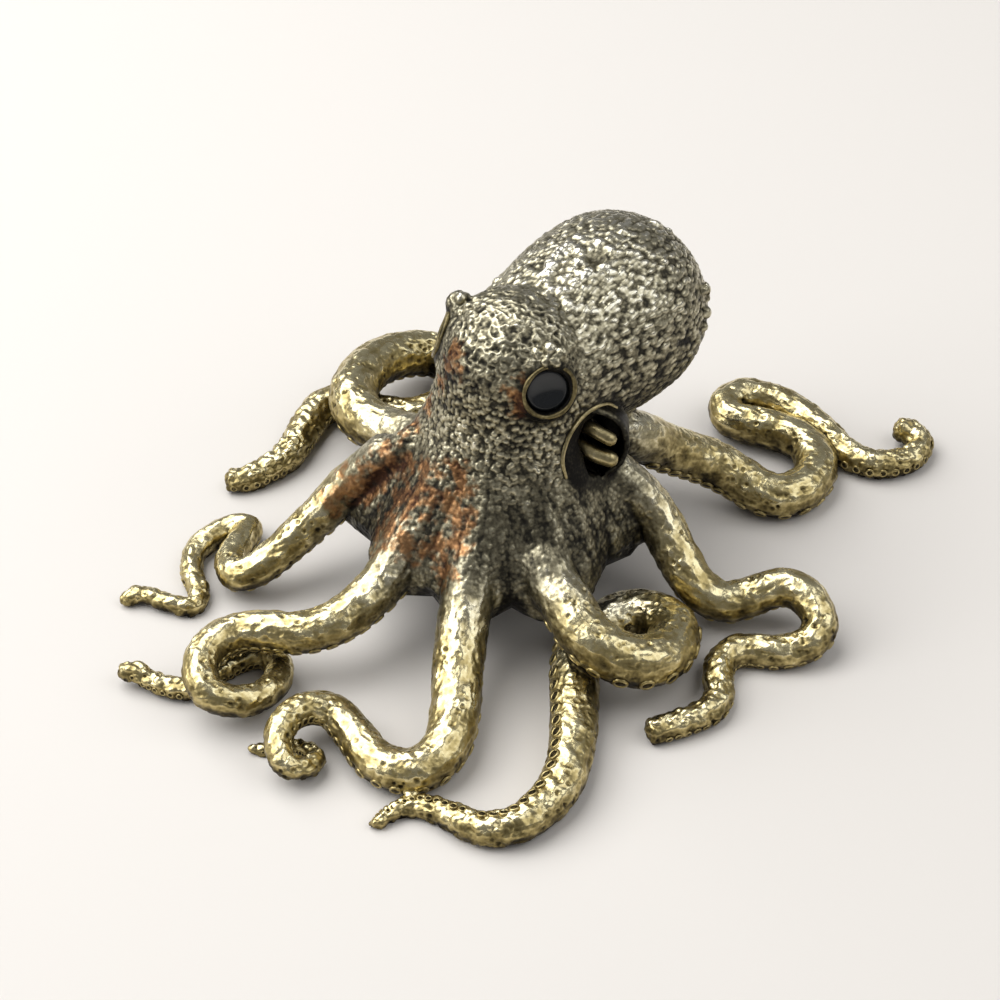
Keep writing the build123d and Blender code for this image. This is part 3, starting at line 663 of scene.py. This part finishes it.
def cast_brass(name):
    """The brass of the casting, coloured by its wear, patina and painted light, and by its reddish patches.
    """
    brass = bpy.data.materials.new(name)
    brass.use_nodes = True
    tree = brass.node_tree
    shader = tree.nodes["Principled BSDF"]
    wear_and_light = add(tree, "ShaderNodeAttribute", attribute_name="wear_and_light").outputs["Fac"]
    patch_share = add(tree, "ShaderNodeAttribute", attribute_name="reddish_patch").outputs["Fac"]
    gold = add(tree, "ShaderNodeAttribute", attribute_name="gold").outputs["Fac"]
    place = add(tree, "ShaderNodeTexCoord").outputs["Object"]
    mottle = add(tree, "ShaderNodeTexNoise", {"Vector": place, "Scale": 420.0, "Detail": 5.0}).outputs[0]
    grain = add(tree, "ShaderNodeTexNoise", {"Vector": place, "Scale": 3400.0, "Detail": 3.0}).outputs[0]
    # Painted glints: each tiny speck is lighter in its middle and darker at its edge, weaker on the arms,
    # and goes into the uneven tone; the same specks also raise a bump.
    speck = add(tree, "ShaderNodeTexVoronoi", {"Vector": place, "Scale": 2700.0, "Randomness": 0.9})
    glint_speck = sum_of(tree, "MULTIPLY", sum_of(tree, "SUBTRACT", 0.5, speck.outputs["Distance"]),
        sum_of(tree, "SUBTRACT", 0.26, sum_of(tree, "MULTIPLY", gold, 0.12)))
    uneven = sum_of(tree, "ADD",
        sum_of(tree, "MULTIPLY", sum_of(tree, "SUBTRACT", mottle, 0.5), 0.45),
        sum_of(tree, "MULTIPLY", sum_of(tree, "SUBTRACT", grain, 0.5), 0.32), glint_speck)
    # The tone of wear, painted light and painted glints, before the reddish patches.
    rubbed = sum_of(tree, "ADD", wear_and_light, uneven)
    tone = sum_of(tree, "SUBTRACT", rubbed, sum_of(tree, "MULTIPLY", patch_share, 0.16))
    silvery = patina_colours(tree, tone, (
        (0.0, (0.015, 0.014, 0.013, 1)), (0.22, (0.052, 0.048, 0.036, 1)), (0.45, (0.20, 0.18, 0.12, 1)),
        (0.70, (0.52, 0.48, 0.34, 1)), (1.0, (0.88, 0.85, 0.72, 1)),
    ))
    golden = patina_colours(tree, tone, (
        (0.0, (0.018, 0.014, 0.009, 1)), (0.22, (0.068, 0.053, 0.024, 1)), (0.45, (0.235, 0.185, 0.075, 1)),
        (0.70, (0.53, 0.43, 0.195, 1)), (1.0, (0.86, 0.77, 0.47, 1)),
    ))
    colours = add(tree, "ShaderNodeMix", {0: gold, 6: silvery, 7: golden}, data_type="RGBA").outputs[2]
    net = add(tree, "ShaderNodeTexNoise", {"Vector": place, "Scale": 900.0, "Detail": 2.0}).outputs[0]
    patchy = sum_of(tree, "SUBTRACT", sum_of(tree, "ADD", patch_share, sum_of(tree, "MULTIPLY", net, 3.2)), 1.80)
    reddening = add(tree, "ShaderNodeMapRange", {0: patchy, 1: 0.0, 2: 0.6, 3: 0.0, 4: 0.8}).outputs[0]
    reds = add(tree, "ShaderNodeMix", {
        0: tone, 6: (0.07, 0.032, 0.020, 1), 7: (0.70, 0.35, 0.13, 1),
    }, data_type="RGBA").outputs[2]
    near_patch = sum_of(tree, "MINIMUM", sum_of(tree, "MULTIPLY", patch_share, 6.0), 1.0)
    reddened = add(tree, "ShaderNodeMix", {
        0: sum_of(tree, "MULTIPLY", reddening, near_patch), 6: colours, 7: reds,
    }, data_type="RGBA").outputs[2]
    tree.links.new(reddened, shader.inputs["Base Color"])
    rough = add(tree, "ShaderNodeMapRange", {0: tone, 1: 0.1, 2: 0.9, 3: 0.52, 4: 0.24}).outputs[0]
    tree.links.new(rough, shader.inputs["Roughness"])
    shader.inputs["Metallic"].default_value = 1.0
    lift = sum_of(tree, "ADD", grain, sum_of(tree, "MULTIPLY", glint_speck, 2.0))
    bump = add(tree, "ShaderNodeBump", {"Height": lift, "Strength": 0.4, "Distance": 0.07 * mm})
    tree.links.new(bump.outputs[0], shader.inputs["Normal"])
    return brass


aged_brass = cast_brass("aged brass")
worn_brass = cast_brass("worn brass")

# The finished skin parted into the pieces that the wax was put together from. Each piece gets a flat
# hidden end where it meets the next, and keeps the whole skin's shading so that no seam shows.
quads = np.empty(len(skin.loops), np.int32)
skin.loops.foreach_get("vertex_index", quads)
quads = quads.reshape(-1, 4)
skin_owner = per_corner(skin, "owner")
most_triangles = 190000


def part_of_skin(name, number):
    """One closed piece of the skin, with the whole skin's shading kept on it."""
    taken = quads[skin_owner == number]
    used, taken = np.unique(taken, return_inverse=True)
    taken = taken.reshape(-1, 4)
    starts, ends = taken.ravel(), np.roll(taken, -1, axis=1).ravel()
    code = starts.astype(np.int64) * len(used) + ends
    back_code = ends.astype(np.int64) * len(used) + starts
    rim = ~np.isin(code, back_code)
    rim_starts, rim_ends = starts[rim], ends[rim]
    loop_of = np.arange(len(used))
    while True:
        least = np.minimum(loop_of[rim_starts], loop_of[rim_ends])
        after = loop_of.copy()
        np.minimum.at(after, rim_starts, least)
        np.minimum.at(after, rim_ends, least)
        after = after[after]
        if (after == loop_of).all():
            break
        loop_of = after
    corners = skin_corners[used]
    carried = ("wear_and_light", "reddish_patch", "gold", "skin_normal", "hidden")
    values = {key: per_corner(skin, key)[used] for key in carried}
    loops = np.unique(loop_of[rim_starts])
    caps = np.empty((len(rim_starts), 3), int)
    for cap_number, loop in enumerate(loops):
        on_loop = loop_of[rim_starts] == loop
        caps[on_loop] = np.stack([
            rim_ends[on_loop], rim_starts[on_loop],
            np.full(on_loop.sum(), len(used) + cap_number),
        ], axis=1)
        corners = np.vstack([corners, corners[rim_starts[on_loop]].mean(axis=0)])
        values = {key: np.concatenate([old, old[:1]]) for key, old in values.items()}
    mesh = bpy.data.meshes.new(name)
    mesh.from_pydata(corners, [], taken.tolist() + caps.tolist())
    for face in mesh.polygons:
        face.use_smooth = True
    for key, old in values.items():
        keep(mesh, key, old)
    piece = set_out(name, mesh)
    triangles = 2 * len(taken) + len(caps)
    if triangles > most_triangles:
        rims = piece.vertex_groups.new(name="rims")
        inner = np.setdiff1d(np.arange(len(used)), rim_starts)
        unseen = values["hidden"][inner] > 0.5
        rims.add(inner[unseen].tolist(), 1.0, "REPLACE")
        rims.add(inner[~unseen].tolist(), 0.3, "REPLACE")
        thin = piece.modifiers.new("thin", "DECIMATE")
        thin.vertex_group = rims.name
        thin.ratio = most_triangles / triangles
        thinned = finished_mesh(piece)
        piece.modifiers.clear()
        piece.vertex_groups.clear()
        piece.data = thinned
    piece.data.normals_split_custom_set_from_vertices(per_corner(piece.data, "skin_normal").tolist())
    for key in ("skin_normal", "hidden"):
        piece.data.attributes.remove(piece.data.attributes[key])
    return piece


parted = {name + "_brass": (number, name) for number, name in enumerate(brass_names)}
parted["web_brass"] = parted.pop("head_and_web_brass")
parted["head_brass"] = (head_number, "head_and_web")
for piece_name, (number, name) in parted.items():
    piece = part_of_skin(piece_name, number)
    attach(piece, "root")
    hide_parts(name)
    piece.data.materials.append(worn_brass if name.startswith("arm") else aged_brass)


# The eyes: a disc of dark glass in each socket, and a thin raised lid round it, egg-shaped with its
# narrow end up and back.
def simple_piece(name, corners, faces, material, values=()):
    """A smooth piece from its corners and faces, riding on the one body."""
    mesh = bpy.data.meshes.new(name)
    mesh.from_pydata(corners, [], faces)
    for face in mesh.polygons:
        face.use_smooth = True
    mesh.materials.append(material)
    for key, value in dict(values).items():
        keep(mesh, key, np.broadcast_to(value, len(corners)))
    piece = set_out(name, mesh)
    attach(piece, "root")
    return piece


def small_brass(name, corners, faces, wear_and_light):
    """A small brass piece, rubbed evenly and with no reddish patch."""
    even = {"wear_and_light": wear_and_light, "reddish_patch": 0.0, "gold": 0.7}
    return simple_piece(name, corners, faces, aged_brass, even)


def tube(line, radii, sides, closed=False):
    """Corners and faces of a round tube along a line, with rounded ends unless it is closed."""
    line, radii = np.array(line, float), np.array(radii, float)
    if closed:
        ways = np.roll(line, -1, axis=0) - np.roll(line, 1, axis=0)
    else:
        first, last = line[0] - line[1], line[-1] - line[-2]
        caps = [(0.0, 1.0), (0.5, 0.87), (0.87, 0.5), (0.99, 0.12)]
        starts = [line[0] + first / np.linalg.norm(first) * radii[0] * out for out, _ in caps[:0:-1]]
        ends = [line[-1] + last / np.linalg.norm(last) * radii[-1] * out for out, _ in caps[1:]]
        line = np.vstack([starts, line, ends])
        radii = np.concatenate([
            [radii[0] * share for _, share in caps[:0:-1]], radii,
            [radii[-1] * share for _, share in caps[1:]],
        ])
        ways = np.gradient(line, axis=0)
    ways /= np.linalg.norm(ways, axis=1, keepdims=True)
    side = np.cross(ways[0], [0.3, 0.2, 0.93])
    corners = []
    for point, way, radius in zip(line, ways, radii):
        side = side - way * (side @ way)
        side /= np.linalg.norm(side)
        rise = np.cross(way, side)
        for k in range(sides):
            turn = k * math.tau / sides
            corners.append(point + (side * math.cos(turn) + rise * math.sin(turn)) * radius)
    rings = len(line)
    faces = []
    for ring in range(rings if closed else rings - 1):
        here, after = ring * sides, (ring + 1) % rings * sides
        faces += [
            (here + k, here + (k + 1) % sides, after + (k + 1) % sides, after + k) for k in range(sides)
        ]
    if not closed:
        faces += [tuple(range(sides))[::-1], tuple(range((rings - 1) * sides, rings * sides))]
    return corners, faces


def in_place(points):
    """Points in mm from the middle of the web, in the scene's metres."""
    return np.array(points) * mm + middle


dark_glass = bpy.data.materials.new("dark glass")
dark_glass.use_nodes = True
glass = dark_glass.node_tree.nodes["Principled BSDF"]
glass.inputs["Base Color"].default_value = (0.012, 0.014, 0.016, 1)
glass.inputs["Roughness"].default_value = 0.12
glass.inputs["IOR"].default_value = 1.5

# Depth below the rim and radius of each ring of the glass, from its underside to its dished middle
glass_rings = [
    (1.38, 1.2), (1.38, 1.98), (0.62, 2.0), (0.5, 1.92), (0.48, 1.7), (0.56, 1.35), (0.66, 1.0),
    (0.73, 0.6), (0.76, 0.2),
]
glass_sides, lid_steps, lid_sides = 48, 72, 12
lid_radius, lid_width, lid_stretch, lid_turn, lid_lift = 2.32, 0.21, 0.30, 0.6, 0.05
lid_lumps, lump_share = 5, 0.18
for side, (place, out) in eye_places.items():
    level = np.cross([0, 0, 1], out)
    level /= np.linalg.norm(level)
    high = np.cross(out, level)
    corners, faces = [], []
    for depth, radius in glass_rings:
        for step in range(glass_sides):
            turn = step * math.tau / glass_sides
            corners.append(place - out * depth + (high * math.cos(turn) + level * math.sin(turn)) * radius)
    for ring in range(len(glass_rings) - 1):
        here, after = ring * glass_sides, (ring + 1) * glass_sides
        for k in range(glass_sides):
            beyond = (k + 1) % glass_sides
            faces.append((here + beyond, here + k, after + k, after + beyond))
    faces.append(tuple(range(glass_sides)))
    faces.append(tuple(range(len(corners) - glass_sides, len(corners)))[::-1])
    glass_eye = simple_piece(side + "_eye_glass", in_place(corners), faces, dark_glass)
    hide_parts(side + "_eye")
    line = []
    radii = []
    for step in range(lid_steps):
        turn = step * math.tau / lid_steps
        reach_out = lid_radius + lid_stretch * max(math.cos(turn - lid_turn), 0) ** 2
        spoke_out = high * math.cos(turn) + level * math.sin(turn)
        line.append(place + out * lid_lift + spoke_out * reach_out)
        radii.append(lid_width * (1 + lump_share * math.sin(lid_lumps * step * math.tau / lid_steps)))
    corners, faces = tube(in_place(line), np.array(radii) * mm, lid_sides, closed=True)
    small_brass(side + "_eye_lid", corners, faces, wear_and_light=0.4)

# The siphon, a funnel rolled from two strips, that comes out of the dark opening under the mantle,
# and the thin lip that arches over the opening.
def through_plane(across, down, place, normal):
    """Where the line of sight through a pixel meets a plane, in mm from the middle of the web."""
    start = (np.array(camera.location) - middle) / mm
    line = np.array(sight_line(across, down))
    return start + line * (((place - start) @ normal) / (line @ normal))


strips_drawn = (
    (0.66, [(583, 425, -0.9), (592, 429, -0.1), (601, 434, 0.4), (610, 439, 0.7)]),
    (0.78, [(575, 442, -0.8), (586, 449, 0.0), (598, 455, 0.5), (610, 459, 0.7)]),
)
strip_sides, lip_sides = 24, 12
rods = []
for rod_radius, drawn in strips_drawn:
    line = [through_plane(u, v, mouth_place + mouth_out * out, mouth_out) for u, v, out in drawn]
    line = smooth_line(np.array(line), step=0.1)
    rods.append(tube(in_place(line), np.full(len(line), rod_radius * mm), strip_sides))
corners = np.vstack([rods[0][0], rods[1][0]])
faces = rods[0][1] + [tuple(k + len(rods[0][0]) for k in face) for face in rods[1][1]]
siphon = small_brass("siphon_strips", corners, faces, wear_and_light=0.62)
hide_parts("siphon")

lip_drawn = [(566, 478), (563, 462), (565, 446), (572, 430), (583, 416), (595, 407), (607, 404), (617, 407)]
line = []
for across, down in lip_drawn:
    nearest_corner = np.argmin(np.linalg.norm(skin_corners - np.array(seen_at(across, down)), axis=1))
    line.append((skin_corners[nearest_corner] - middle) / mm)
line = smooth_line(np.array(line), step=0.1)
lip_end_radius, lip_swelling = 0.17, 0.07
thin = lip_end_radius + lip_swelling * np.sin(np.linspace(0, math.pi, len(line)))
corners, faces = tube(in_place(line), thin * mm, lip_sides)
small_brass("mouth_lip", corners, faces, wear_and_light=0.6)


# The suckers: small cups with a round lip, in two staggered rows along the underside of each arm,
# smaller towards the tip. The arms are rolled a little as they curl, so that some tails show
# their suckers at the side or on top.
sucker_share, sucker_gap, row_angle, first_sucker, last_sucker = 0.62, 1.12, 38.0, 7.0, 1.2
sucker_lip_width, sucker_seat = 0.13, 0.98
arm_rolls = {
    "arm_left_1": 75, "arm_left_2": -150, "arm_left_3": 35, "arm_left_4": -60,
    "arm_right_1": 60, "arm_right_2": -40, "arm_right_3": 50, "arm_right_4": 30,
}

suckers = bpy.data.node_groups.new("suckers", "GeometryNodeTree")
suckers.interface.new_socket("Places", in_out="INPUT", socket_type="NodeSocketGeometry")
suckers.interface.new_socket("Suckers", in_out="OUTPUT", socket_type="NodeSocketGeometry")
lip_socket = suckers.interface.new_socket("Lip width", in_out="INPUT", socket_type="NodeSocketFloat")
start = add(suckers, "NodeGroupInput")
lip_line = add(suckers, "GeometryNodeCurvePrimitiveCircle", {"Resolution": 12, "Radius": 0.40})
lip_round = add(suckers, "GeometryNodeCurvePrimitiveCircle", {"Resolution": 5, "Radius": start.outputs[1]})
lip = add(suckers, "GeometryNodeCurveToMesh", {0: lip_line.outputs[0], 1: lip_round.outputs[0]})
cup = add(suckers, "GeometryNodeMeshCylinder", {"Vertices": 8, "Radius": 0.34, "Depth": 0.16})
shown = []
for shape, wear_and_light in ((lip, 0.62), (cup, 0.12)):
    shown.append(add(suckers, "GeometryNodeStoreNamedAttribute", {
        "Geometry": shape.outputs[0], "Name": "wear_and_light", "Value": wear_and_light,
    }, data_type="FLOAT", domain="POINT").outputs[0])
sucker = add(suckers, "GeometryNodeJoinGeometry")
for shape in shown:
    suckers.links.new(shape, sucker.inputs[0])
turned_out = add(suckers, "FunctionNodeAlignRotationToVector", {
    "Vector": attribute(suckers, "out", "FLOAT_VECTOR"),
}, axis="Z").outputs[0]
placed = add(suckers, "GeometryNodeInstanceOnPoints", {
    "Points": start.outputs[0], "Instance": sucker.outputs[0], "Rotation": turned_out,
    "Scale": attribute(suckers, "size"),
}).outputs[0]
joined = add(suckers, "GeometryNodeRealizeInstances", {0: placed}).outputs[0]
finished = add(suckers, "GeometryNodeSetMaterial", {0: joined, "Material": worn_brass}).outputs[0]
add(suckers, "NodeGroupOutput", {0: finished})

for name, (points, radius, along) in arm_lines.items():
    ways = np.gradient(points, axis=0)
    ways /= np.linalg.norm(ways, axis=1, keepdims=True)
    places, outs, sizes = [], [], []
    reached, row = first_sucker, 1
    while reached < along[-1] - last_sucker:
        foot = np.array([np.interp(reached, along, points[:, k]) for k in range(3)])
        way = np.array([np.interp(reached, along, ways[:, k]) for k in range(3)])
        side = np.cross([0, 0, 1], way)
        side /= np.linalg.norm(side)
        rise = np.cross(way, side)
        here = np.interp(reached, along, radius)
        turn = math.radians(arm_rolls[name] * reached / along[-1] + row * row_angle)
        out = side * math.sin(turn) - rise * math.cos(turn)
        places.append(foot + out * here * sucker_seat)
        outs.append(out)
        sizes.append(here * sucker_share * mm)
        reached += here * sucker_share * sucker_gap / 2
        row = -row
    mesh = bpy.data.meshes.new(name + "_sucker_places")
    mesh.from_pydata(in_place(places), [], [])
    keep(mesh, "out", np.array(outs))
    keep(mesh, "size", np.array(sizes))
    holder = set_out(name + "_sucker_places", mesh)
    rows = holder.modifiers.new("suckers", "NODES")
    rows.node_group = suckers
    rows[lip_socket.identifier] = sucker_lip_width
    made = finished_mesh(holder)
    bpy.data.objects.remove(holder)
    corners = corners_of(made)
    corners[:, 2] = np.maximum(corners[:, 2], 0)
    set_corners(made, corners)
    for face in made.polygons:
        face.use_smooth = True
    keep(made, "reddish_patch", np.zeros(len(corners)))
    keep(made, "gold", np.ones(len(corners)))
    piece = set_out(name + "_suckers", made)
    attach(piece, "root")

# The studio: a plain pale table top, a soft key lamp high on the left, and two weaker lamps, one
# on the right and one low on the left.
table_mesh = bpy.data.meshes.new("table")
table_half = 2.0
table_mesh.from_pydata(
    [(-table_half, -table_half, 0), (table_half, -table_half, 0), (table_half, table_half, 0),
     (-table_half, table_half, 0)], [], [(0, 1, 2, 3)],
)
table = set_out("table", table_mesh)
table_paint = bpy.data.materials.new("table paint")
table_paint.use_nodes = True
table_paint.node_tree.nodes["Principled BSDF"].inputs["Base Color"].default_value = (0.80, 0.765, 0.72, 1)
table_paint.node_tree.nodes["Principled BSDF"].inputs["Roughness"].default_value = 0.8
table_mesh.materials.append(table_paint)

world = bpy.data.worlds.new("studio")
bpy.context.scene.world = world
world.use_nodes = True
world.node_tree.nodes["Background"].inputs[0].default_value = (0.20, 0.20, 0.205, 1)
lamp_distance = 0.45


def lamp(name, side, high, near, size, power):
    """A soft square lamp, placed by how far it is to the side, high and near as the camera sees it."""
    light = bpy.data.lights.new(name, "AREA")
    light.energy, light.size = power, size
    stand = set_out(name, light)
    to_lamp = (right * side + up * high + back * near).normalized()
    stand.location = to_lamp * lamp_distance
    stand.rotation_mode = "QUATERNION"
    stand.rotation_quaternion = to_lamp.to_track_quat("Z", "Y")


lamp("key lamp", -0.5, 0.8, 0.35, 0.5, 2.3)
lamp("fill lamp", 0.7, 0.5, 0.6, 0.4, 0.6)
lamp("left lamp", -0.9, 0.3, 0.5, 0.3, 0.6)
bpy.context.scene.view_settings.view_transform = "Standard"
